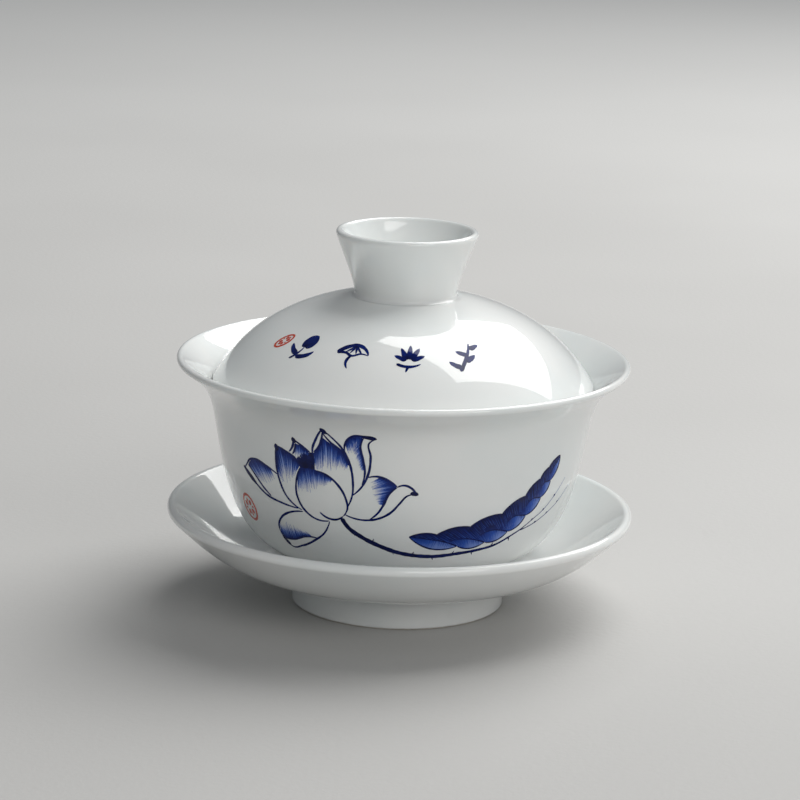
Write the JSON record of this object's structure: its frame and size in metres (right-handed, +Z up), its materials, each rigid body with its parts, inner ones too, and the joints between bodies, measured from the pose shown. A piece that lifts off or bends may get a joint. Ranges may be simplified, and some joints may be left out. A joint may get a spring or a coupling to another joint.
{
  "type": "gaiwan",
  "caption": "White porcelain gaiwan: a flared tea bowl standing on a saucer, closed by a domed lid with a hollow flared knob, painted with a blue lotus.",
  "frame": {"origin": "centre of the circle that the saucer's foot ring rests on", "axes": "+Z up along the axis that every piece is turned about; -Y towards the painted lotus, +X to its right"},
  "size_m": [0.109, 0.109, 0.0888],
  "materials": {
    "white_porcelain": "thin white porcelain under a clear, slightly cool glossy glaze",
    "cobalt_blue": "cobalt blue painting under the glaze, from near black lines to a light wash",
    "iron_red": "small orange red stamp on the glaze"
  },
  "bodies": {
    "saucer": {"saucer": "white_porcelain"},
    "bowl": {"bowl": "white_porcelain"},
    "lid": {"lid_dome": "white_porcelain", "lid_knob": "white_porcelain"}
  },
  "joints": [
    {"name": "bowl_lift", "type": "slide", "parent": "saucer", "child": "bowl", "axis": [0, 0, 1], "range_m": [0, 0.06]},
    {"name": "lid_lift", "type": "slide", "parent": "bowl", "child": "lid", "axis": [0, 0, 1], "range_m": [0, 0.06]}
  ]
}
